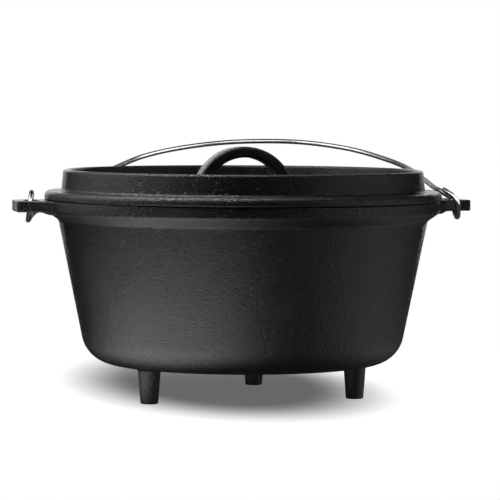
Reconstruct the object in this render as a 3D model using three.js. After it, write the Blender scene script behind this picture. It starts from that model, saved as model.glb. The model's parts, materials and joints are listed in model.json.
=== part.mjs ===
// Camp dutch oven: a cast iron pot on three legs with two slotted ears, a flanged cast iron
// lid with a coal rim and a loop handle, and a steel wire bail hooked through the ears.
// Millimetres, +Z up, +X through the right ear. The origin is the centre of the pot's flat
// underside, so the legs reach below zero.

import * as THREE from "three";

// ---------------------------------------------------------------- driving dimensions
const GAP = 0.3;                 // clearance between solids that touch

const RING_SEGMENTS = 48;        // sides of every turned shape
const SMALL_SEGMENTS = 24;       // sides of the legs

// pot
const POT_HEIGHT = 135.7;        // underside to rim
const WALL = 5;
const UNDERSIDE_RADIUS = 107;    // flat part of the underside
const BOTTOM_CORNER = 27;        // outside radius between underside and wall
const WALL_LOW = { r: 133.1, z: 19 };
const WALL_HIGH = { r: 153.1, z: 118.2 };
const COLLAR_RADIUS = 164;
const COLLAR_HEIGHT = 8.5;       // plain band below the rim
const COLLAR_SLOPE = { r: 161.5, z: 124.7 };
const RIM_INNER_RADIUS = 149.5;

// lid
const LID_BASE = POT_HEIGHT + GAP;
const FLANGE_RADIUS = 165;
const FLANGE_TOP = 143.2;
const FLANGE_ROUND = 4.5;
const COAL_RIM_BASE_RADIUS = 151;
const COAL_RIM_TOP_RADIUS = 149.4;
const COAL_RIM_TOP = 160.6;
const COAL_RIM_WALL = 4.6;
const DISH_FLOOR = 141.2;
const DISH_CORNER = 6;
const LOCATING_RING = { inner: 140.5, outer: 145.5, depth: 5.5 };

// lid handle
const HANDLE_CENTRE = 137.8;     // height of the arch's centre
const HANDLE_OUTER = 42;
const HANDLE_INNER = 33;
const HANDLE_WIDTH = 22;

// ears
const EAR_TIP = 191;
const EAR_THICK = 9.3;
const EAR_TIP_HALF = 20;
const EAR_ROOT_HALF = 27;
const EAR_ROOT_FLARE = 2;        // extra half width where the ear meets the collar
const EAR_CORNER = 9;
const SLOT_NEAR = 171.3;
const SLOT_FAR = 182.7;
const SLOT_HALF = 16;

// legs: each as azimuth from straight ahead (-Y) towards +X, and distance from the axis
const LEG_HEIGHT = 27.8;
const LEG_TOP_RADIUS = 9.4;
const LEG_FOOT_RADIUS = 7.2;
const LEGS = [
  { name: "front_left_leg", azimuth: -59.3, radius: 101 },
  { name: "front_right_leg", azimuth: 66.8, radius: 95 },
  { name: "rear_leg", azimuth: 162.8, radius: 90 },
];

// bail: it hangs on the rear bar of the left ear and the front bar of the right ear
const WIRE_RADIUS = 2.2;
const WIRE_SIDES = 8;
const WIRE_STEPS = 160;
const EYE_CENTRE = { x: 175.7, y: 20.3 };
const BAIL_LEAN = 12;            // degrees that the bail rises towards its back
const BAIL_ROLL = 3;             // degrees that it rises towards the right
const BAIL_DROP = 3.35;          // how far its plane passes below the middle of the hinge
// Each eye is an open ring: radius of its centre line, start and end angle around the bar,
// lean of its top towards the pot in degrees, how far its free end curls inboard, its shift
// outboard along the hinge, and its centre's height over the hinge.
const LEFT_EYE = { radius: 11.5, from: 10, to: 270, tilt: 7, curl: 0, shift: 0, lift: -1 };
const RIGHT_EYE = { radius: 12.2, from: 0, to: -250, tilt: 8, curl: 9.5, shift: 1, lift: 2.6 };
// The span between the eyes as [along the hinge, out from the hinge, height over its plane].
const BAIL_SPAN = [
  [-174, 22, 0], [-165, 44, 0], [-155, 66, 0], [-146, 84, 0], [-122, 128, 0], [-98, 170, 0],
  [-74, 203, 0], [-44, 225, 0], [-3, 239, 0], [34, 238, 0], [70, 226, 0], [109, 193, 0],
  [136, 150, 0], [152, 112, 0], [161.5, 66, 0], [166, 38, 0], [169.5, 26, 0], [174, 19, -2],
  [178, 15, -4],
];

// ---------------------------------------------------------------- helpers
function castIron() {
  return new THREE.MeshStandardMaterial({ color: 0x24241f, roughness: 0.55, metalness: 0.35 });
}

function zincWire() {
  return new THREE.MeshStandardMaterial({ color: 0xc9c9c6, roughness: 0.25, metalness: 1 });
}

const radians = (degrees) => THREE.MathUtils.degToRad(degrees);

// Points of an arc in a profile plane; angles in degrees, 0 along +r, 90 along +z.
function arc(centreR, centreZ, radius, from, to, steps) {
  const points = [];
  for (let i = 0; i <= steps; i += 1) {
    const angle = radians(from + ((to - from) * i) / steps);
    points.push([centreR + radius * Math.cos(angle), centreZ + radius * Math.sin(angle)]);
  }
  return points;
}

// A solid turned around Z from a profile of [r, z] pairs.
function turned(profile, segments) {
  const points = profile.map(([r, z]) => new THREE.Vector2(r, z));
  const geometry = new THREE.LatheGeometry(points, segments);
  geometry.rotateX(Math.PI / 2);
  return geometry;
}

function piece(name, geometry, material) {
  const mesh = new THREE.Mesh(geometry, material);
  mesh.name = name;
  return mesh;
}

// ---------------------------------------------------------------- pot
function potBody() {
  const draft = Math.atan2(WALL_HIGH.r - WALL_LOW.r, WALL_HIGH.z - WALL_LOW.z);
  const draftDegrees = THREE.MathUtils.radToDeg(draft);
  const across = WALL / Math.cos(draft);
  const innerCorner = BOTTOM_CORNER - WALL;
  const collarBase = POT_HEIGHT - COLLAR_HEIGHT;
  const rimRound = 1.5;
  const profile = [
    [0, 0],
    ...arc(UNDERSIDE_RADIUS, BOTTOM_CORNER, BOTTOM_CORNER, -90, -draftDegrees, 5),
    [WALL_HIGH.r, WALL_HIGH.z],
    [WALL_HIGH.r + 0.8, WALL_HIGH.z + 1],
    [COLLAR_SLOPE.r, COLLAR_SLOPE.z],
    [COLLAR_RADIUS, collarBase],
    [COLLAR_RADIUS, POT_HEIGHT - rimRound],
    [COLLAR_RADIUS - rimRound, POT_HEIGHT],
    [RIM_INNER_RADIUS, POT_HEIGHT],
    [WALL_HIGH.r - across, WALL_HIGH.z],
    ...arc(UNDERSIDE_RADIUS, BOTTOM_CORNER, innerCorner, -draftDegrees, -90, 5),
    [0, WALL],
  ];
  return turned(profile, RING_SEGMENTS);
}

// Outline of an ear: it tapers to its tip, flares into the collar and has one slot.
function earShape() {
  const inner = COLLAR_RADIUS + GAP;
  const rootHalf = EAR_ROOT_HALF + EAR_ROOT_FLARE;
  const rootX = (half) => Math.sqrt(inner * inner - half * half);
  const flareStart = rootX(rootHalf) + 2 * EAR_ROOT_FLARE;
  const shape = new THREE.Shape();
  shape.moveTo(rootX(rootHalf), -rootHalf);
  shape.quadraticCurveTo(flareStart - EAR_ROOT_FLARE, -EAR_ROOT_HALF, flareStart, -EAR_ROOT_HALF + 1);
  shape.lineTo(EAR_TIP - EAR_CORNER, -EAR_TIP_HALF);
  shape.quadraticCurveTo(EAR_TIP, -EAR_TIP_HALF, EAR_TIP, -EAR_TIP_HALF + EAR_CORNER);
  shape.lineTo(EAR_TIP, EAR_TIP_HALF - EAR_CORNER);
  shape.quadraticCurveTo(EAR_TIP, EAR_TIP_HALF, EAR_TIP - EAR_CORNER, EAR_TIP_HALF);
  shape.lineTo(flareStart, EAR_ROOT_HALF - 1);
  shape.quadraticCurveTo(flareStart - EAR_ROOT_FLARE, EAR_ROOT_HALF, rootX(rootHalf), rootHalf);
  const rootAngle = Math.asin(rootHalf / inner);
  shape.absarc(0, 0, inner, rootAngle, -rootAngle, true);
  shape.holes.push(slotPath());
  return shape;
}

function slotPath() {
  const end = (SLOT_FAR - SLOT_NEAR) / 2;
  const middle = (SLOT_FAR + SLOT_NEAR) / 2;
  const slot = new THREE.Path();
  slot.absarc(middle, SLOT_HALF - end, end, 0, Math.PI, false);
  slot.absarc(middle, end - SLOT_HALF, end, Math.PI, 2 * Math.PI, false);
  return slot;
}

function ear() {
  const geometry = new THREE.ExtrudeGeometry(earShape(), {
    depth: EAR_THICK,
    bevelEnabled: false,
    curveSegments: 8,
  });
  geometry.translate(0, 0, POT_HEIGHT - EAR_THICK);
  return geometry;
}

function leg() {
  const foot = [
    [0, -LEG_HEIGHT],
    [LEG_FOOT_RADIUS - 1, -LEG_HEIGHT],
    [LEG_FOOT_RADIUS, -LEG_HEIGHT + 1],
    [LEG_TOP_RADIUS, -GAP],
    [0, -GAP],
  ];
  return turned(foot, SMALL_SEGMENTS);
}

// ---------------------------------------------------------------- lid
function lidPlate() {
  const { inner, outer, depth } = LOCATING_RING;
  const crest = COAL_RIM_WALL / 2;
  const crestRadius = COAL_RIM_TOP_RADIUS - crest;
  const floorEdge = COAL_RIM_BASE_RADIUS - COAL_RIM_WALL - 1 - DISH_CORNER;
  const profile = [
    [0, LID_BASE],
    [inner, LID_BASE],
    [inner + 1, LID_BASE - depth],
    [outer - 1, LID_BASE - depth],
    [outer, LID_BASE],
    [FLANGE_RADIUS - 1, LID_BASE],
    [FLANGE_RADIUS, LID_BASE + 1],
    ...arc(FLANGE_RADIUS - FLANGE_ROUND, FLANGE_TOP - FLANGE_ROUND, FLANGE_ROUND, 0, 90, 4),
    [COAL_RIM_BASE_RADIUS + 2, FLANGE_TOP],
    [COAL_RIM_BASE_RADIUS, FLANGE_TOP + 2],
    ...arc(crestRadius, COAL_RIM_TOP - crest, crest, 0, 180, 5),
    ...arc(floorEdge, DISH_FLOOR + DISH_CORNER, DISH_CORNER, 0, -90, 4),
    [0, DISH_FLOOR],
  ];
  return turned(profile, RING_SEGMENTS);
}

// An arch that stands on the dish floor, long side along X.
function lidHandle() {
  const floor = DISH_FLOOR + GAP - HANDLE_CENTRE;
  const outerStart = Math.asin(floor / HANDLE_OUTER);
  const innerStart = Math.asin(floor / HANDLE_INNER);
  const shape = new THREE.Shape();
  shape.absarc(0, 0, HANDLE_OUTER, outerStart, Math.PI - outerStart, false);
  shape.absarc(0, 0, HANDLE_INNER, Math.PI - innerStart, innerStart, true);
  const geometry = new THREE.ExtrudeGeometry(shape, {
    depth: HANDLE_WIDTH,
    bevelEnabled: false,
    curveSegments: 24,
  });
  geometry.translate(0, 0, -HANDLE_WIDTH / 2);
  geometry.rotateX(Math.PI / 2);
  geometry.translate(0, 0, HANDLE_CENTRE);
  return geometry;
}

// ---------------------------------------------------------------- bail
const HINGE_HEIGHT = POT_HEIGHT - EAR_THICK / 2;
const HINGE_HALF = Math.hypot(EYE_CENTRE.x, EYE_CENTRE.y);
const UP = new THREE.Vector3(0, 0, 1);
const ALONG = new THREE.Vector3(EYE_CENTRE.x, -EYE_CENTRE.y, 0).normalize();
const BACK = new THREE.Vector3().crossVectors(UP, ALONG);

// A point given along the hinge, out behind it and above it.
function hingePoint(along, out, above) {
  const point = new THREE.Vector3(0, 0, HINGE_HEIGHT + above);
  point.addScaledVector(ALONG, along);
  return point.addScaledVector(BACK, out);
}

function spanPoint([along, out, raise]) {
  const slope = out * Math.tan(radians(BAIL_LEAN)) + along * Math.tan(radians(BAIL_ROLL));
  return hingePoint(along, out, slope - BAIL_DROP + raise);
}

// Centre line of one eye, bent around an ear's bar; the last stretch of a curled eye
// bends inboard. side is -1 for the left ear and 1 for the right one.
function eyePoints(eye, side) {
  const steps = 11;
  const points = [];
  for (let i = 0; i <= steps; i += 1) {
    const degrees = eye.from + ((eye.to - eye.from) * i) / steps;
    const angle = radians(degrees);
    const tilted = eye.radius * Math.tan(radians(eye.tilt)) * Math.sin(angle);
    const curled = eye.curl * THREE.MathUtils.smoothstep(Math.abs(degrees), 185, 250);
    const along = side * (HINGE_HALF + eye.shift - tilted - curled);
    const above = eye.lift + eye.radius * Math.sin(angle);
    points.push(hingePoint(along, eye.radius * Math.cos(angle), above));
  }
  return points;
}

function bail() {
  const route = [
    ...eyePoints(LEFT_EYE, -1),
    ...BAIL_SPAN.map(spanPoint),
    ...eyePoints(RIGHT_EYE, 1),
  ];
  const path = new THREE.CatmullRomCurve3(route, false, "centripetal");
  const section = new THREE.Shape();
  section.absarc(0, 0, WIRE_RADIUS, 0, 2 * Math.PI, false);
  return new THREE.ExtrudeGeometry(section, {
    steps: WIRE_STEPS,
    extrudePath: path,
    bevelEnabled: false,
    curveSegments: WIRE_SIDES / 2,
  });
}

// ---------------------------------------------------------------- assembly
const group = new THREE.Group();
group.add(piece("pot_body", potBody(), castIron()));
group.add(piece("right_ear", ear(), castIron()));

const leftEar = piece("left_ear", ear(), castIron());
leftEar.rotation.z = Math.PI;
group.add(leftEar);

for (const { name, azimuth, radius } of LEGS) {
  const mesh = piece(name, leg(), castIron());
  mesh.position.set(radius * Math.sin(radians(azimuth)), -radius * Math.cos(radians(azimuth)), 0);
  group.add(mesh);
}

group.add(piece("lid", lidPlate(), castIron()));
group.add(piece("lid_handle", lidHandle(), castIron()));
group.add(piece("bail", bail(), zincWire()));

export default group;
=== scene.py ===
"""A camp dutch oven: cast iron pot on three legs, flanged lid with a loop handle, wire bail."""

import json
import math
from collections import namedtuple

import bmesh
import bpy
from bpy.props import FloatProperty, FloatVectorProperty, IntProperty, PointerProperty
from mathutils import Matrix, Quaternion, Vector


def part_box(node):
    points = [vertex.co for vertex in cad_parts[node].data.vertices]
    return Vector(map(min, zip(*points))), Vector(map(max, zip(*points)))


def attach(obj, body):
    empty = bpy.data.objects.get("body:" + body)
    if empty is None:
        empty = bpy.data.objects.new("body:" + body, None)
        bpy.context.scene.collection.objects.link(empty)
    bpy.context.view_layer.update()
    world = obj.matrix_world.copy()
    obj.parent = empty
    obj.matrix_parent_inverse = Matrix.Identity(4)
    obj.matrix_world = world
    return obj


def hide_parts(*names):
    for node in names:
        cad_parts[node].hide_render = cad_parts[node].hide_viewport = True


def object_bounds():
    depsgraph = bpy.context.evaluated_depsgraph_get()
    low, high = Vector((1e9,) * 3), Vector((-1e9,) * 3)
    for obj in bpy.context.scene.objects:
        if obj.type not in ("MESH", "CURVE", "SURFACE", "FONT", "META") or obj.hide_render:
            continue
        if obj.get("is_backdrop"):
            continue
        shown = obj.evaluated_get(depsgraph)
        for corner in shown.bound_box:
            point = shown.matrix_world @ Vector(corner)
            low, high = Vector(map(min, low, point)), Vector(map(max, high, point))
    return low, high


bl_info = {
    "name": "Camp Dutch Oven",
    "version": (1, 0, 0),
    "blender": (4, 5, 0),
    "location": "View3D > Sidebar > Dutch Oven",
    "description": "Builds a cast iron camp oven with lid, bail and a studio stage",
    "category": "Add Mesh",
}

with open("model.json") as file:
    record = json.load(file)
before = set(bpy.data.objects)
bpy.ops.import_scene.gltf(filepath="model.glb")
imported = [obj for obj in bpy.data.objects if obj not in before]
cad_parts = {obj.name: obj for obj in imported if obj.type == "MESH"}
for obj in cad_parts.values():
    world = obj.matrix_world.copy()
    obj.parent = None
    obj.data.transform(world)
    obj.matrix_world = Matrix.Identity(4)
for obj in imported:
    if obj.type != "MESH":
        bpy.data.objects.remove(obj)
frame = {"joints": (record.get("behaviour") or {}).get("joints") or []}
CAD_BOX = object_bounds()

MM = 0.001
RIM_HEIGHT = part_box("pot_body")[1].z
COLLAR_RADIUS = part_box("pot_body")[1].x
FLOOR_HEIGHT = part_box("rear_leg")[0].z
FLANGE_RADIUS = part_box("lid")[1].x
LID_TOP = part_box("lid")[1].z
HINGE = next(joint for joint in frame["joints"] if joint["name"] == "bail_swing")
IRON_SLOT = "seasoned_iron"
WIRE_SLOT = "zinc_wire"
FLOOR_GROUP = "floor"
BOUNCE_HEIGHT = FLOOR_HEIGHT + 0.01
LID_GAP = 0.3 * MM
CURVE_STEP = math.radians(8)
OUTLINE_STEP = 3 * MM
SAME_PLACE = 1e-7

# An open eye of the bail, in millimetres and degrees: where its wire starts and ends around the
# hinge, lean of its top towards the pot, curl of its free end inboard, shift outboard, and lift.
Eye = namedtuple("Eye", "radius start end lean curl shift lift")

# A soft light: direction from the camera's own in degrees (left is negative), distance from the
# pot's axis, height, width and tallness of the panel, height it points at, watts, what it lights.
SoftLight = namedtuple("SoftLight", "name direction distance height width tall target watts group")


# ---------------------------------------------------------------- settings
def length(name, description, default):
    return FloatProperty(name=name, description=description, default=default, unit="LENGTH")


def share(name, description, default):
    return FloatProperty(
        name=name, description=description, default=default, min=0, max=1, subtype="FACTOR"
    )


def angle(name, description, degrees):
    return FloatProperty(
        name=name, description=description, default=math.radians(degrees), subtype="ANGLE"
    )


def colour(name, description, default):
    return FloatVectorProperty(
        name=name, description=description, default=default, min=0, max=1, subtype="COLOR"
    )


class IronFinish(bpy.types.PropertyGroup):
    dark: colour("Dark", "Colour of the seasoning in the hollows of the grain", (0.003, 0.003, 0.0025))
    light: colour("Light", "Colour of the seasoning where it is rubbed thin", (0.008, 0.008, 0.0065))
    gloss: share("Roughness, glossy", "Roughness where the oil has built up", 0.25)
    matt: share("Roughness, matt", "Roughness where the iron is dry", 0.36)
    grain_size: length("Grain size", "Width of one pebble of the sand-cast skin", 1.15 * MM)
    grain_depth: length("Grain depth", "Depth of the sand-cast skin", 0.55 * MM)
    swell_depth: length("Swell depth", "Depth of the slow unevenness of the casting", 0.25 * MM)


class WireFinish(bpy.types.PropertyGroup):
    zinc: colour("Zinc", "Colour of the plating", (0.83, 0.83, 0.82))
    dull: colour("Dulled zinc", "Colour of the plating where it has dulled", (0.6, 0.6, 0.6))
    gloss: share("Roughness, bright", "Roughness of the bright plating", 0.24)
    matt: share("Roughness, dull", "Roughness of the dulled plating", 0.36)


class BowlSizes(bpy.types.PropertyGroup):
    base_radius: length("Base radius", "Where the side would meet the underside", 129.27 * MM)
    neck_radius: length("Neck radius", "Outside of the side just below the collar", 153.4 * MM)
    neck_height: length("Neck height", "Height where the side meets the collar", 119 * MM)
    collar_base: length("Collar base", "Height of the collar's lower edge", 126.4 * MM)
    wall: length("Wall", "Thickness of the side and of the floor", 5 * MM)
    corner: length("Corner", "Outside radius between side and underside", 27 * MM)
    rim_width: length("Rim width", "Width of the flat rim that carries the lid", 14.5 * MM)
    sides: IntProperty(name="Sides", description="Faces around the bowl", default=240, min=24)


class EarSizes(bpy.types.PropertyGroup):
    tip: length("Tip", "Distance of the ear's tip from the axis", 191 * MM)
    thickness: length("Thickness", "Thickness of the ear", 9.3 * MM)
    tip_half: length("Half width, tip", "Half of the width at the tip", 20 * MM)
    root_half: length("Half width, root", "Half of the width at the collar", 27 * MM)
    corner: length("Corner", "Radius of the two outer corners", 2.5 * MM)
    slot_near: length("Slot, near side", "Near side of the slot from the axis", 171.3 * MM)
    slot_far: length("Slot, far side", "Far side of the slot from the axis", 182.7 * MM)
    slot_half: length("Slot half length", "Half of the slot's length", 16 * MM)
    edge: length("Edge", "Radius of the rounded edges", 1.3 * MM)


class LegSizes(bpy.types.PropertyGroup):
    foot_radius: length("Foot radius", "Radius of the foot", 7.2 * MM)
    top_radius: length("Top radius", "Radius below the underside", 9.3 * MM)
    fillet: length("Fillet", "Radius of the joint with the underside", 2.5 * MM)
    foot_edge: length("Foot edge", "Radius of the foot's worn edge", 1.1 * MM)
    sides: IntProperty(name="Sides", description="Faces around a leg", default=64, min=12)


class LidSizes(bpy.types.PropertyGroup):
    flange_top: length("Flange top", "Height of the flange's upper face", 143.2 * MM)
    rim_base: length("Coal rim base", "Outside radius of the coal rim at its base", 151 * MM)
    rim_crest: length("Coal rim crest", "Outside radius of the coal rim at its top", 149.4 * MM)
    rim_wall: length("Coal rim wall", "Thickness of the coal rim", 4.6 * MM)
    dish_floor: length("Dish floor", "Height of the floor inside the coal rim", 141.2 * MM)
    ring_depth: length("Ring depth", "How far the locating ring reaches into the pot", 5.5 * MM)
    handle_centre: length("Handle centre", "Height of the centre of the handle's arch", 137.8 * MM)
    handle_outer: length("Handle outer radius", "Outer radius of the arch", 42 * MM)
    handle_inner: length("Handle inner radius", "Inner radius of the arch", 33 * MM)
    handle_width: length("Handle width", "Width of the handle", 22 * MM)
    handle_edge: length("Handle edge", "Radius of the handle's edges", 2.2 * MM)


class BailSizes(bpy.types.PropertyGroup):
    wire: length("Wire radius", "Radius of the wire", 2.15 * MM)
    lean: angle("Lean", "How much the bail rises towards its back", 12)
    roll: angle("Roll", "How much the bail rises towards the right", 3)
    drop: length("Drop", "How far the loop's plane passes below the hinge", 3.35 * MM)


class StageSettings(bpy.types.PropertyGroup):
    turn: angle("Turn", "Angle between the camera's direction and the pot's front", 11)
    distance: length("Distance", "Distance of the camera from the pot's axis", 2.4046)
    height: length("Height", "Height of the camera over the floor", 0.2547)
    pitch: angle("Pitch", "How far the camera looks down", 3.17)
    yaw: angle("Yaw", "How far the camera looks to the right of the axis", 0.14)
    roll: angle("Roll", "How far the camera is rolled", 0.26)
    lens: FloatProperty(
        name="Lens", description="Focal length", default=208.3, subtype="DISTANCE_CAMERA"
    )
    floor_radius: length("Floor radius", "Radius of the floor", 1.2)
    floor_sides: IntProperty(name="Floor sides", description="Sides of the floor", default=128, min=12)


class DutchOvenSettings(bpy.types.PropertyGroup):
    iron: PointerProperty(type=IronFinish, name="Iron", description="Finish of the castings")
    zinc: PointerProperty(type=WireFinish, name="Zinc", description="Finish of the bail")
    bowl: PointerProperty(type=BowlSizes, name="Bowl", description="Sizes of the bowl")
    ear: PointerProperty(type=EarSizes, name="Ears", description="Sizes of the ears")
    leg: PointerProperty(type=LegSizes, name="Legs", description="Sizes of the legs")
    lid: PointerProperty(type=LidSizes, name="Lid", description="Sizes of the lid")
    bail: PointerProperty(type=BailSizes, name="Bail", description="Sizes of the bail")
    stage: PointerProperty(type=StageSettings, name="Stage", description="Camera and floor")


# ---------------------------------------------------------------- outlines
def filleted(corners, closed=False):
    """Points through corners given as (across, up, radius), each corner rounded to its radius."""
    points = []
    last = len(corners) - 1
    for index, (across, up, radius) in enumerate(corners):
        corner = Vector((across, up))
        if not radius or (not closed and index in (0, last)):
            points.append(corner)
            continue
        following = corners[(index + 1) % len(corners)]
        back = (Vector(corners[index - 1][:2]) - corner).normalized()
        ahead = (Vector(following[:2]) - corner).normalized()
        half = back.angle(ahead) / 2
        centre = corner + (back + ahead).normalized() * (radius / math.sin(half))
        spoke = corner + back * (radius / math.tan(half)) - centre
        turn = math.pi - 2 * half
        if spoke.cross(corner + ahead * (radius / math.tan(half)) - centre) < 0:
            turn = -turn
        steps = max(4, math.ceil(abs(turn) / CURVE_STEP))
        for step in range(steps + 1):
            spun = turn * step / steps
            cosine = math.cos(spun)
            sine = math.sin(spun)
            points.append(
                centre + Vector((spoke.x * cosine - spoke.y * sine, spoke.x * sine + spoke.y * cosine))
            )
    return points


def spaced(points, longest, closed=False):
    """The same outline with points added so that no step is longer than longest."""
    result = []
    pairs = list(zip(points, points[1:] + points[:1]))
    if not closed:
        pairs.pop()
    for start, end in pairs:
        steps = max(1, math.ceil((end - start).length / longest))
        for step in range(steps):
            result.append(start.lerp(end, step / steps))
    if not closed:
        result.append(points[-1])
    return result


def smooth_step(low, high, value):
    """0 up to low, 1 from high on, and eased between them; low may be the larger one."""
    t = min(1, max(0, (value - low) / (high - low)))
    return t * t * (3 - 2 * t)


# ---------------------------------------------------------------- meshes
def mesh_from(name, build):
    """A smooth-shaded mesh object whose faces point outwards."""
    grid = bmesh.new()
    build(grid)
    bmesh.ops.remove_doubles(grid, verts=grid.verts, dist=SAME_PLACE)
    bmesh.ops.recalc_face_normals(grid, faces=grid.faces)
    for face in grid.faces:
        face.smooth = True
    mesh = bpy.data.meshes.new(name)
    grid.to_mesh(mesh)
    grid.free()
    piece = bpy.data.objects.new(name, mesh)
    bpy.context.scene.collection.objects.link(piece)
    return piece


def join_rings(grid, rings, closed):
    """Quads between neighbouring rings; a ring of one vertex gives a fan."""
    pairs = list(zip(rings, rings[1:] + rings[:1]))
    if not closed:
        pairs.pop()
    for lower, upper in pairs:
        count = max(len(lower), len(upper))
        for i in range(count):
            j = (i + 1) % count
            corners = [lower[i % len(lower)], lower[j % len(lower)]]
            corners += [upper[j % len(upper)], upper[i % len(upper)]]
            grid.faces.new(list(dict.fromkeys(corners)))


def turned(name, outline, sides, centre=(0, 0)):
    """A shape turned around a vertical axis from an outline of (radius, height) points."""

    def build(grid):
        rings = []
        for radius, height in outline:
            if radius < SAME_PLACE:
                rings.append([grid.verts.new((*centre, height))])
                continue
            ring = []
            for side in range(sides):
                turn = 2 * math.pi * side / sides
                x = centre[0] + radius * math.sin(turn)
                y = centre[1] - radius * math.cos(turn)
                ring.append(grid.verts.new((x, y, height)))
            rings.append(ring)
        join_rings(grid, rings, closed=False)

    return mesh_from(name, build)


def lofted(name, sections, capped):
    """A solid through a row of closed sections; uncapped, the last one joins the first."""

    def build(grid):
        rings = [[grid.verts.new(point) for point in section] for section in sections]
        join_rings(grid, rings, closed=not capped)
        if capped:
            grid.faces.new(rings[0])
            grid.faces.new(rings[-1])

    return mesh_from(name, build)


def lit_group(name):
    """The collection of that name, made when first asked for, which a light can be kept to."""
    group = bpy.data.collections.get(name)
    if group is None:
        group = bpy.data.collections.new(name)
        bpy.context.scene.collection.children.link(group)
    return group


def kept_to(piece, group):
    """Moves a piece into the collection whose lights it takes."""
    bpy.context.scene.collection.objects.unlink(piece)
    lit_group(group).objects.link(piece)


def placed(piece, body, node, slot, finish):
    """Gives a piece its finish and puts it on its body instead of the plain solid."""
    piece.data.materials.append(finish)
    kept_to(piece, slot)
    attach(piece, body)
    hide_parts(node)


# ---------------------------------------------------------------- finishes
class NodeBoard:
    """Short ways to add and join the nodes of one material or world."""

    # places of the colour sockets on a mix node
    first_colour = 6
    second_colour = 7
    mixed_colour = 2

    def __init__(self, tree):
        self.tree = tree
        tree.nodes.clear()

    def add(self, kind, inputs=None, **options):
        made = self.tree.nodes.new(kind)
        for name, value in options.items():
            setattr(made, name, value)
        for name, value in (inputs or {}).items():
            if isinstance(value, bpy.types.NodeSocket):
                self.tree.links.new(value, made.inputs[name])
            else:
                made.inputs[name].default_value = value
        return made

    def ramp(self, factor, low, high, to_low, to_high):
        """Maps low..high onto to_low..to_high, clamped and eased."""
        made = self.add(
            "ShaderNodeMapRange",
            {"Value": factor, "From Min": low, "From Max": high, "To Min": to_low, "To Max": to_high},
            interpolation_type="SMOOTHSTEP",
        )
        return made.outputs["Result"]

    def math(self, operation, first, second):
        made = self.add("ShaderNodeMath", {0: first, 1: second}, operation=operation)
        return made.outputs[0]

    def tint(self, factor, first, second):
        """A colour that goes from first to second as the factor goes from 0 to 1."""
        made = self.add("ShaderNodeMix", {0: factor}, data_type="RGBA")
        made.inputs[self.first_colour].default_value = (*first, 1)
        made.inputs[self.second_colour].default_value = (*second, 1)
        return made.outputs[self.mixed_colour]

    def noise(self, place, scale, detail, roughness=0.5):
        made = self.add(
            "ShaderNodeTexNoise",
            {"Vector": place, "Scale": scale, "Detail": detail, "Roughness": roughness},
        )
        return made.outputs["Fac"]

    def distance(self, place):
        """How far a place is from the middle."""
        made = self.add("ShaderNodeVectorMath", {0: place}, operation="LENGTH")
        return made.outputs["Value"]


def fresh_material(name):
    material = bpy.data.materials.new(name)
    material.use_nodes = True
    return material, NodeBoard(material.node_tree)


def seasoned_iron():
    """Black, oiled, sand-cast iron: fine pebbled skin, slow swells, thin seasoning on edges."""
    if "seasoned iron" in bpy.data.materials:
        return bpy.data.materials["seasoned iron"]
    finish = bpy.context.scene.dutch_oven.iron
    material, board = fresh_material("seasoned iron")
    place = board.add("ShaderNodeTexCoord").outputs["Object"]
    pebbles = board.add(
        "ShaderNodeTexVoronoi",
        {"Vector": place, "Scale": 1 / finish.grain_size, "Smoothness": 0.6},
        feature="SMOOTH_F1",
    ).outputs["Distance"]
    sand = board.noise(place, 1 / (finish.grain_size * 0.8), 3, 0.6)
    swell = board.noise(place, 1 / (45 * MM), 2)
    patches = board.noise(place, 1 / (30 * MM), 4, 0.6)
    pits = board.ramp(board.noise(place, 1 / (4.2 * MM), 2), 0.3, 0.42, 1.0, 0.0)

    grain = board.math("SUBTRACT", sand, board.math("MULTIPLY", pebbles, 0.55))
    grain = board.math("SUBTRACT", grain, board.math("MULTIPLY", pits, 0.3))
    slow = board.add(
        "ShaderNodeBump", {"Height": swell, "Distance": finish.swell_depth * 8, "Strength": 0.25}
    )
    skin = board.add(
        "ShaderNodeBump",
        {
            "Height": grain,
            "Distance": finish.grain_depth,
            "Strength": 1.0,
            "Normal": slow.outputs["Normal"],
        },
    )
    pointed = board.add("ShaderNodeNewGeometry").outputs["Pointiness"]
    worn_edges = board.math("MULTIPLY", board.ramp(pointed, 0.51, 0.58, 0, 1), 0.8)
    worn = board.math("MAXIMUM", worn_edges, board.ramp(patches, 0.5, 0.75, 0, 0.6))
    half_sand = board.math("MULTIPLY", sand, 0.5)
    half_patches = board.math("MULTIPLY", patches, 0.5)
    dryness = board.math("ADD", half_sand, half_patches)
    shader = board.add(
        "ShaderNodeBsdfPrincipled",
        {
            "Base Color": board.tint(worn, finish.dark, finish.light),
            "Roughness": board.ramp(dryness, 0.38, 0.62, finish.gloss, finish.matt),
            "Normal": skin.outputs["Normal"],
            "Metallic": 0.0,
            "IOR": 1.45,
        },
    )
    board.add("ShaderNodeOutputMaterial", {"Surface": shader.outputs["BSDF"]})
    return material


def zinc_wire():
    """Bright plated wire with fine specks and dulled patches."""
    finish = bpy.context.scene.dutch_oven.zinc
    material, board = fresh_material("zinc wire")
    place = board.add("ShaderNodeTexCoord").outputs["Object"]
    patches = board.noise(place, 90, 4)
    specks = board.noise(place, 1400, 2)
    dulled = board.ramp(patches, 0.4, 0.75, 0, 0.7)
    skin = board.add("ShaderNodeBump", {"Height": specks, "Distance": 0.01 * MM, "Strength": 0.4})
    shader = board.add(
        "ShaderNodeBsdfPrincipled",
        {
            "Base Color": board.tint(dulled, finish.zinc, finish.dull),
            "Metallic": 1.0,
            "Roughness": board.ramp(dulled, 0, 1, finish.gloss, finish.matt),
            "Normal": skin.outputs["Normal"],
        },
    )
    board.add("ShaderNodeOutputMaterial", {"Surface": shader.outputs["BSDF"]})
    return material


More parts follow.
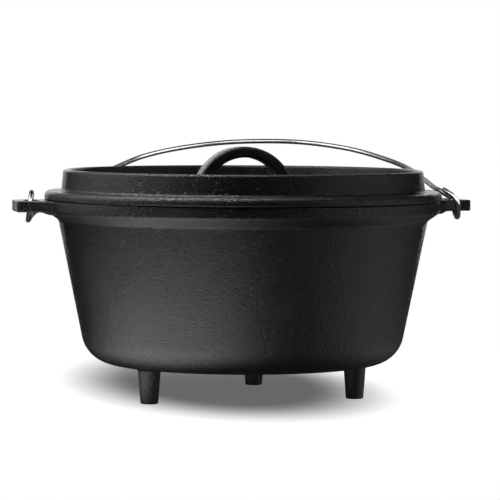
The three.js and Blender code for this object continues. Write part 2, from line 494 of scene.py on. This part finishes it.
def pale_floor_with_painted_shadow():
    """White floor that thins out into the pale surroundings; under the pot it is darkened partly by the
    real shadow of the floor light and partly by a painted shadow, where its glow is dimmed.
    """
    # painted shadow: inside these distances from the pot the floor's glow is dimmed from the open level
    # down to the shadow level
    painted_shadow_core, painted_shadow_end = 0.163, 0.357
    painted_shadow_level, open_level = 0.13, 1.05
    fade_start, fade_end = 0.25, 0.6
    hidden_from_gloss = 0.97

    material, board = fresh_material("pale floor with painted shadow")
    place = board.add("ShaderNodeTexCoord").outputs["Object"]
    # the painted shadow's middle lies 0.1 behind the pot's axis, and it is narrower than it is deep
    painted_shadow_place = board.add(
        "ShaderNodeMapping", {"Vector": place, "Location": (0, -0.1, 0), "Scale": (2.3, 1, 1)}
    ).outputs["Vector"]
    # painted shadow: the glow is low near the pot and rises to full brightness further out
    glow_with_painted_shadow = board.ramp(board.distance(painted_shadow_place), painted_shadow_core, painted_shadow_end, painted_shadow_level, open_level)
    shader = board.add(
        "ShaderNodeBsdfPrincipled",
        {
            "Base Color": (0.9, 0.9, 0.9, 1),
            "Roughness": 0.9,
            "Specular IOR Level": 0.1,
            "Emission Color": (1, 1, 1, 1),
            "Emission Strength": glow_with_painted_shadow,
            "Alpha": board.ramp(board.distance(place), fade_start, fade_end, 1, 0),
        },
    )
    gloss = board.add("ShaderNodeLightPath").outputs["Is Glossy Ray"]
    hidden = board.math("MULTIPLY", gloss, hidden_from_gloss)
    clear = board.add("ShaderNodeBsdfTransparent").outputs["BSDF"]
    mixed = board.add("ShaderNodeMixShader", {0: hidden, 1: shader.outputs["BSDF"], 2: clear})
    board.add("ShaderNodeOutputMaterial", {"Surface": mixed.outputs[0]})
    return material


# ---------------------------------------------------------------- pieces
class DUTCHOVEN_OT_add_bowl(bpy.types.Operator):
    """Turn the bowl: drafted side, rounded bottom corner, sloped neck and rim collar"""

    bl_idname = "dutch_oven.add_bowl"
    bl_label = "Add Bowl"

    def execute(self, context):
        size = context.scene.dutch_oven.bowl
        draft = (size.neck_radius - size.base_radius) / size.neck_height
        across = size.wall * math.hypot(1, draft)
        inner_low = size.base_radius + draft * size.wall - across
        inner_neck = size.neck_radius - across
        rim_inner = COLLAR_RADIUS - size.rim_width
        neck_bend, collar_bend, inner_bend = 4 * MM, 3 * MM, 8 * MM
        rim_edge, mouth_edge = 1.5 * MM, 1.2 * MM
        outline = filleted([
            (0, 0, 0),
            (size.base_radius, 0, size.corner),
            (size.neck_radius, size.neck_height, neck_bend),
            (COLLAR_RADIUS, size.collar_base, collar_bend),
            (COLLAR_RADIUS, RIM_HEIGHT, rim_edge),
            (rim_inner, RIM_HEIGHT, mouth_edge),
            (inner_neck, size.neck_height, inner_bend),
            (inner_low, size.wall, size.corner - size.wall),
            (0, size.wall, 0),
        ])
        bowl = turned("bowl", spaced(outline, OUTLINE_STEP), size.sides)
        placed(bowl, "pot", "pot_body", IRON_SLOT, seasoned_iron())
        return {"FINISHED"}


class DUTCHOVEN_OT_add_ears(bpy.types.Operator):
    """Build the two flat ears with their slots for the bail"""

    bl_idname = "dutch_oven.add_ears"
    bl_label = "Add Ears"

    rays = 240
    root_flare = 2 * MM
    root_drop = 2.2 * MM
    skin_gap = 0.05 * MM

    def outline(self, size):
        """The ear's outline from above, its root buried in the collar."""
        root_depth, root_bow = 7 * MM, 3 * MM
        root = COLLAR_RADIUS - root_depth
        flare_half = size.root_half + self.root_flare
        flare = COLLAR_RADIUS * math.cos(math.asin(flare_half / COLLAR_RADIUS))
        flare_depth, flare_bend = 3.5 * MM, 6 * MM
        taper_end, taper_bend = size.tip - 9 * MM, 4 * MM
        tip = size.tip - 0.3 * MM
        corners = [
            (root, 0, 0),
            (root - root_bow, -flare_half, 0),
            (flare, -flare_half, 0),
            (flare + flare_depth, -size.root_half, flare_bend),
            (taper_end, -size.tip_half, taper_bend),
            (tip, -size.tip_half, size.corner),
        ]
        mirrored = [(x, -y, radius) for x, y, radius in reversed(corners[1:])]
        return filleted(corners + mirrored, closed=True)

    def slot(self, size):
        """The slot's outline from above, straight with two round ends."""
        steps = 16
        end = (size.slot_far - size.slot_near) / 2
        middle = (size.slot_far + size.slot_near) / 2
        points = []
        for centre, start in ((size.slot_half - end, 0), (end - size.slot_half, math.pi)):
            for step in range(steps + 1):
                turn = start + math.pi * step / steps
                points.append(Vector((middle + end * math.cos(turn), centre + end * math.sin(turn))))
        return points

    def seen_from(self, eye, points):
        """Where rays from eye at even angles cross a closed outline."""
        parallel = 1e-12
        slack = 1e-9
        found = []
        for ray in range(self.rays):
            turn = 2 * math.pi * ray / self.rays
            heading = Vector((math.cos(turn), math.sin(turn)))
            for start, end in zip(points, points[1:] + points[:1]):
                side = end - start
                facing = heading.cross(side)
                if abs(facing) < parallel:
                    continue
                along = (start - eye).cross(heading) / facing
                reach = (start - eye).cross(side) / facing
                if reach > 0 and -slack <= along <= 1 + slack:
                    found.append(eye + heading * reach)
                    break
        if len(found) != self.rays:
            raise RuntimeError("an ear's outline is not closed around its slot")
        return found

    def rounded(self, points, edge, inward):
        """For each point of an outline, the steps of its rounded edge as (place, depth)."""
        steps = 5
        bends = [math.pi / 2 * step / steps for step in range(steps + 1)]
        edges = []
        for index, point in enumerate(points):
            chord = points[(index + 1) % len(points)] - points[index - 1]
            away = Vector((chord.y, -chord.x)).normalized() * inward
            edges.append([
                (point + away * edge * (1 - math.cos(bend)), edge * (1 - math.sin(bend)))
                for bend in bends
            ])
        return edges

    def execute(self, context):
        size = context.scene.dutch_oven.ear
        top = RIM_HEIGHT - self.skin_gap
        bottom = top - size.thickness + 2 * self.skin_gap
        eye = Vector(((size.slot_far + size.slot_near) / 2, 0))
        rims = self.rounded(self.seen_from(eye, self.outline(size)), size.edge, -1)
        holes = self.rounded(self.seen_from(eye, self.slot(size)), size.edge, 1)
        # below, the ear grows thicker towards the collar
        drop_start, drop_end = COLLAR_RADIUS + 7 * MM, COLLAR_RADIUS - 1 * MM
        slope_start, slope_end = eye.x - 6 * MM, COLLAR_RADIUS

        def drop(rim, point):
            buried = smooth_step(drop_start, drop_end, rim.x)
            return self.root_drop * buried * smooth_step(slope_start, slope_end, point.x)

        sections = []
        for rim, hole in zip(rims, holes):
            near = hole[-1][0]
            far = rim[-1][0]
            face = [(near.lerp(far, part), 0) for part in (0.08, 0.35, 0.65, 0.92)]
            half = hole + face + rim[::-1]
            edge = rim[0][0]
            upper = [(point.x, point.y, top - depth) for point, depth in half]
            lower = [
                (point.x, point.y, bottom + depth - drop(edge, point))
                for point, depth in reversed(half)
            ]
            sections.append(upper + lower)
        for name, side in (("right_ear", 1), ("left_ear", -1)):
            turned_round = [[(side * x, side * y, z) for x, y, z in section] for section in sections]
            ear = lofted(name + "_casting", turned_round, capped=False)
            placed(ear, "pot", name, IRON_SLOT, seasoned_iron())
        return {"FINISHED"}


class DUTCHOVEN_OT_add_legs(bpy.types.Operator):
    """Turn the three short legs, each flowing into the underside"""

    bl_idname = "dutch_oven.add_legs"
    bl_label = "Add Legs"

    def execute(self, context):
        size = context.scene.dutch_oven.leg
        spread = size.top_radius + 3.5 * MM
        spread_bend = 2 * MM
        below, inside, buried = -0.2 * MM, 0.6 * MM, 3 * MM
        for name in ("front_left_leg", "front_right_leg", "rear_leg"):
            low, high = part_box(name)
            centre = ((low.x + high.x) / 2, (low.y + high.y) / 2)
            outline = filleted([
                (0, low.z, 0),
                (size.foot_radius, low.z, size.foot_edge),
                (size.top_radius, below, size.fillet),
                (spread, inside, spread_bend),
                (spread, buried, 0),
                (0, buried, 0),
            ])
            leg = turned(name + "_casting", spaced(outline, OUTLINE_STEP / 2), size.sides, centre)
            placed(leg, "pot", name, IRON_SLOT, seasoned_iron())
        return {"FINISHED"}


class DUTCHOVEN_OT_add_lid(bpy.types.Operator):
    """Turn the lid: locating ring, rounded flange, raised coal rim and flat dish"""

    bl_idname = "dutch_oven.add_lid"
    bl_label = "Add Lid"

    def execute(self, context):
        size = context.scene.dutch_oven.lid
        base = RIM_HEIGHT + LID_GAP
        ring_outer, ring_inner = 145.5 * MM, 140.5 * MM
        ring_draft, ring_edge = 0.8 * MM, 1.2 * MM
        ring_low = base - size.ring_depth
        flange_low_edge, flange_top_edge = 1 * MM, 4.2 * MM
        rim_root_bend, crest_edge, dish_bend = 2 * MM, 2.1 * MM, 6 * MM
        dish_edge = size.rim_crest - size.rim_wall
        outline = filleted([
            (0, base, 0),
            (ring_inner, base, ring_edge),
            (ring_inner + ring_draft, ring_low, ring_edge),
            (ring_outer - ring_draft, ring_low, ring_edge),
            (ring_outer, base, ring_edge),
            (FLANGE_RADIUS, base, flange_low_edge),
            (FLANGE_RADIUS, size.flange_top, flange_top_edge),
            (size.rim_base, size.flange_top, rim_root_bend),
            (size.rim_crest, LID_TOP, crest_edge),
            (dish_edge, LID_TOP, crest_edge),
            (dish_edge, size.dish_floor, dish_bend),
            (0, size.dish_floor, 0),
        ])
        sides = context.scene.dutch_oven.bowl.sides
        lid = turned("lid_casting", spaced(outline, OUTLINE_STEP), sides)
        placed(lid, "lid", "lid", IRON_SLOT, seasoned_iron())
        return {"FINISHED"}


class DUTCHOVEN_OT_add_lid_handle(bpy.types.Operator):
    """Sweep the arched handle and spread its feet into the dish"""

    bl_idname = "dutch_oven.add_lid_handle"
    bl_label = "Add Lid Handle"

    def execute(self, context):
        size = context.scene.dutch_oven.lid
        middle = (size.handle_outer + size.handle_inner) / 2
        depth = (size.handle_outer - size.handle_inner) / 2
        width = size.handle_width / 2
        foot_depth = 1.5 * MM
        buried = size.dish_floor - foot_depth - size.handle_centre
        start = math.asin(buried / middle)
        steps = 96
        face_step = 2.4 * MM
        foot_spread, foot_low, foot_high, foot_hollow = 4 * MM, -1 * MM, 6 * MM, 1.5
        corners = [(depth, width), (-depth, width), (-depth, -width), (depth, -width)]
        outline = filleted([(x, y, size.handle_edge) for x, y in corners], closed=True)
        outline = spaced(outline, face_step, closed=True)
        sections = []
        for step in range(steps + 1):
            turn = start + (math.pi - 2 * start) * step / steps
            lift = size.handle_centre + middle * math.sin(turn) - size.dish_floor
            spread = foot_spread * (1 - smooth_step(foot_low, foot_high, lift)) ** foot_hollow
            section = []
            for point in outline:
                reach = middle + point.x * (1 + spread / depth)
                x = reach * math.cos(turn)
                z = size.handle_centre + reach * math.sin(turn)
                section.append((x, point.y * (1 + spread / width), z))
            sections.append(section)
        handle = lofted("lid_handle_casting", sections, capped=True)
        placed(handle, "lid", "lid_handle", IRON_SLOT, seasoned_iron())
        return {"FINISHED"}


class DUTCHOVEN_OT_add_bail(bpy.types.Operator):
    """Bend the wire bail with its two open eyes"""

    bl_idname = "dutch_oven.add_bail"
    bl_label = "Add Bail"

    eyes = {
        -1: Eye(radius=11.5, start=10, end=270, lean=7, curl=0, shift=0, lift=-1),
        1: Eye(radius=12.2, start=0, end=-250, lean=8, curl=9.5, shift=1, lift=2.6),
    }
    # where the bail rides on the right ear's bar, in millimetres from the pot's axis
    bar_across, bar_along = 175.7, 20.3
    route_steps = 24
    wire_step = 1.2 * MM
    wire_sides = 20
    # share of the wire's radius that is cut off at its rounded ends
    end_cuts = (0.35, 0.12)
    # millimetres along the hinge, out behind it, and over the loop's plane
    span = [
        (-174, 22, 0), (-165, 44, 0), (-155, 66, 0), (-146, 84, 0), (-122, 128, 0), (-98, 170, 0),
        (-74, 203, 0), (-44, 225, 0), (-3, 239, 0), (34, 238, 0), (70, 226, 0), (109, 193, 0),
        (136, 150, 0), (152, 112, 0), (161.5, 66, 0), (166, 38, 0), (169.5, 26, 0), (174, 19, -2),
        (178, 15, -4),
    ]

    def at_hinge(self, along, out, above):
        """A point along the hinge, out behind it and above it."""
        up = Vector((0, 0, 1))
        axis = Vector(HINGE["axis"])
        return Vector(HINGE["pos_m"]) + along * axis + out * up.cross(axis) + above * up

    def eye_points(self, side, half):
        """The wire's points around one eye; half is the eye's distance along the hinge."""
        eye = self.eyes[side]
        steps = 11
        curl_start, curl_end = 185, 250
        for step in range(steps + 1):
            degrees = eye.start + (eye.end - eye.start) * step / steps
            turn = math.radians(degrees)
            inboard = eye.radius * math.tan(math.radians(eye.lean)) * math.sin(turn)
            inboard += eye.curl * smooth_step(curl_start, curl_end, abs(degrees))
            along = side * (half + (eye.shift - inboard) * MM)
            above = eye.lift + eye.radius * math.sin(turn)
            yield self.at_hinge(along, eye.radius * math.cos(turn) * MM, above * MM)

    def route(self, size):
        """The wire's points from the left eye's free end to the right eye's."""
        half = math.hypot(self.bar_across * MM, self.bar_along * MM)
        points = list(self.eye_points(-1, half))
        for along, out, over in self.span:
            slope = out * math.tan(size.lean) + along * math.tan(size.roll)
            points.append(self.at_hinge(along * MM, out * MM, (slope + over) * MM - size.drop))
        return points + list(self.eye_points(1, half))

    def smooth_route(self, points):
        """A smooth curve through the points, evened by the root of their distances."""
        steps = self.route_steps
        ends = [2 * points[0] - points[1], *points, 2 * points[-1] - points[-2]]
        result = []
        for before, start, end, after in zip(ends, ends[1:], ends[2:], ends[3:]):
            gap_before = math.sqrt((start - before).length)
            gap = math.sqrt((end - start).length)
            gap_after = math.sqrt((after - end).length)
            leaving = (start - before) / gap_before - (end - before) / (gap_before + gap)
            leaving = (leaving + (end - start) / gap) * gap
            arriving = (end - start) / gap - (after - start) / (gap + gap_after)
            arriving = (arriving + (after - end) / gap_after) * gap
            for step in range(steps):
                t = step / steps
                bend = (2 * t**3 - 3 * t**2 + 1) * start + (3 * t**2 - 2 * t**3) * end
                result.append(bend + (t**3 - 2 * t**2 + t) * leaving + (t**3 - t**2) * arriving)
        return [*result, points[-1]]

    def thinned(self, points):
        """The route with only the points that are at least one step of wire apart."""
        walked = [points[0]]
        for point in points[1:]:
            if (point - walked[-1]).length >= self.wire_step:
                walked.append(point)
        return walked

    def wire_rings(self, path, radius):
        """Round sections along the path, turned with it, the first and last ones rounded."""
        heading = (path[1] - path[0]).normalized()
        spoke = heading.orthogonal().normalized()
        rings = []
        last = len(path) - 1
        for index, point in enumerate(path):
            ahead = (path[min(index + 1, last)] - path[max(index - 1, 0)]).normalized()
            spoke.rotate(heading.rotation_difference(ahead))
            heading = ahead
            cross = heading.cross(spoke)
            outward, cuts = 0, (0,)
            if index == 0:
                outward, cuts = -1, self.end_cuts
            elif index == last:
                outward, cuts = 1, self.end_cuts[::-1]
            for cut in cuts:
                reach = radius * (1 - cut)
                middle = point + heading * (outward * cut * radius)
                ring = []
                for side in range(self.wire_sides):
                    turn = 2 * math.pi * side / self.wire_sides
                    ring.append(middle + reach * (math.cos(turn) * spoke + math.sin(turn) * cross))
                rings.append(ring)
        return rings

    def execute(self, context):
        size = context.scene.dutch_oven.bail
        path = self.thinned(self.smooth_route(self.route(size)))
        sections = self.wire_rings(path, size.wire)
        bail = lofted("wire_bail", sections, capped=True)
        placed(bail, "bail", "bail", WIRE_SLOT, zinc_wire())
        return {"FINISHED"}


# ---------------------------------------------------------------- stage
class DUTCHOVEN_OT_add_stage(bpy.types.Operator):
    """Lay the pale floor and place the camera and the soft lights"""

    bl_idname = "dutch_oven.add_stage"
    bl_label = "Add Stage"

    soft_lights = [
        SoftLight("left_softbox", -96, 1.3, 0.76, 1.3, 0.8, 0.1, 11, IRON_SLOT),
        SoftLight("left_top_softbox", -76, 0.62, 1.35, 0.5, 0.4, 0.1, 26, IRON_SLOT),
        SoftLight("left_bounce", -62, 0.52, BOUNCE_HEIGHT, 0.6, 0.6, 1.2, 0.3, IRON_SLOT),
        SoftLight("left_near_bounce", -40, 0.2, BOUNCE_HEIGHT, 0.3, 0.14, 1.2, 0.4, IRON_SLOT),
        SoftLight("right_softbox", 80, 2.0, 0.75, 0.9, 0.7, 0.1, 7, IRON_SLOT),
        SoftLight("right_bounce", 85, 0.52, BOUNCE_HEIGHT, 0.6, 0.6, 1.2, 0.55, IRON_SLOT),
        SoftLight("back_softbox", 180, 2.2, 0.35, 1.7, 0.9, 0.1, 12, IRON_SLOT),
        SoftLight("top_softbox", 170, 0.3, 1.5, 1.2, 1.2, 0.1, 3, IRON_SLOT),
        SoftLight("wire_front", 0, 1.4, 1.0, 1.8, 1.6, 0.15, 14, WIRE_SLOT),
        SoftLight("wire_left", -80, 1.4, 0.9, 2.0, 1.6, 0.15, 16, WIRE_SLOT),
        SoftLight("wire_right", 80, 1.4, 0.9, 2.0, 1.6, 0.15, 16, WIRE_SLOT),
        SoftLight("wire_back", 180, 2.0, 0.8, 3.0, 1.5, 0.15, 5, WIRE_SLOT),
        SoftLight("floor_light", 0, 0.2, 1.5, 0.9, 0.9, 0.0, 3, FLOOR_GROUP),
    ]

    def add_floor(self, stage):
        floor = turned("floor", [(0, 0), (stage.floor_radius, 0)], stage.floor_sides)
        floor.location.z = FLOOR_HEIGHT
        floor.data.materials.append(pale_floor_with_painted_shadow())
        kept_to(floor, FLOOR_GROUP)
        floor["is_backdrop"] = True

    def add_camera(self, context, stage):
        data = bpy.data.cameras.new("camera")
        data.lens = stage.lens
        data.sensor_width = 36
        data.clip_end = 100
        camera = bpy.data.objects.new("camera", data)
        context.scene.collection.objects.link(camera)
        behind = Vector((-math.sin(stage.turn), -math.cos(stage.turn), 0))
        camera.location = behind * stage.distance + Vector((0, 0, stage.height + FLOOR_HEIGHT))
        level = math.cos(stage.pitch)
        heading = stage.turn + stage.yaw
        looking = Vector((math.sin(heading) * level, math.cos(heading) * level, -math.sin(stage.pitch)))
        camera.rotation_mode = "QUATERNION"
        rolled = Quaternion((0, 0, 1), stage.roll)
        camera.rotation_quaternion = looking.to_track_quat("-Z", "Y") @ rolled
        context.scene.camera = camera

    def add_light(self, context, stage, soft):
        data = bpy.data.lights.new(soft.name, "AREA")
        data.shape = "RECTANGLE"
        data.size = soft.width
        data.size_y = soft.tall
        data.energy = soft.watts
        light = bpy.data.objects.new(soft.name, data)
        context.scene.collection.objects.link(light)
        light.light_linking.receiver_collection = lit_group(soft.group)
        light.visible_camera = False
        turn = math.radians(soft.direction) - stage.turn
        across, back = soft.distance * math.sin(turn), -soft.distance * math.cos(turn)
        light.location = (across, back, soft.height)
        aim = Vector((0, 0, soft.target)) - light.location
        light.rotation_euler = aim.to_track_quat("-Z", "Y").to_euler()

    def add_surroundings(self, context):
        """White all around for the camera, and nearly dark for the pieces."""
        on_pieces, behind_scene = 0.015, 1.0
        world = bpy.data.worlds.new("studio")
        world.use_nodes = True
        context.scene.world = world
        board = NodeBoard(world.node_tree)
        seen = board.add("ShaderNodeLightPath").outputs["Is Camera Ray"]
        strength = board.ramp(seen, 0, 1, on_pieces, behind_scene)
        light = board.add("ShaderNodeBackground", {"Color": (1, 1, 1, 1), "Strength": strength})
        board.add("ShaderNodeOutputWorld", {"Surface": light.outputs["Background"]})

    def execute(self, context):
        stage = context.scene.dutch_oven.stage
        self.add_floor(stage)
        self.add_camera(context, stage)
        for soft in self.soft_lights:
            self.add_light(context, stage, soft)
        self.add_surroundings(context)
        context.scene.view_settings.view_transform = "Standard"
        return {"FINISHED"}


class DUTCHOVEN_PT_panel(bpy.types.Panel):
    """Lists the pieces of the dutch oven"""

    bl_label = "Dutch Oven"
    bl_idname = "DUTCHOVEN_PT_panel"
    bl_space_type = "VIEW_3D"
    bl_region_type = "UI"
    bl_category = "Dutch Oven"

    def draw(self, context):
        for piece in PIECES:
            self.layout.operator(piece.bl_idname)


SETTINGS = (
    IronFinish,
    WireFinish,
    BowlSizes,
    EarSizes,
    LegSizes,
    LidSizes,
    BailSizes,
    StageSettings,
    DutchOvenSettings,
)
PIECES = (
    DUTCHOVEN_OT_add_stage,
    DUTCHOVEN_OT_add_bowl,
    DUTCHOVEN_OT_add_ears,
    DUTCHOVEN_OT_add_legs,
    DUTCHOVEN_OT_add_lid,
    DUTCHOVEN_OT_add_lid_handle,
    DUTCHOVEN_OT_add_bail,
)


def register():
    for kind in (*SETTINGS, *PIECES, DUTCHOVEN_PT_panel):
        bpy.utils.register_class(kind)
    bpy.types.Scene.dutch_oven = PointerProperty(type=DutchOvenSettings)


def unregister():
    del bpy.types.Scene.dutch_oven
    for kind in reversed((*SETTINGS, *PIECES, DUTCHOVEN_PT_panel)):
        bpy.utils.unregister_class(kind)


def main():
    register()
    bpy.ops.dutch_oven.add_stage()
    bpy.ops.dutch_oven.add_bowl()
    bpy.ops.dutch_oven.add_ears()
    bpy.ops.dutch_oven.add_legs()
    bpy.ops.dutch_oven.add_lid()
    bpy.ops.dutch_oven.add_lid_handle()
    bpy.ops.dutch_oven.add_bail()
    boxes = {"cad": CAD_BOX, "visual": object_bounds()}
    {name: [list(corner) for corner in box] for name, box in boxes.items()}


if __name__ == "__main__":
    main()
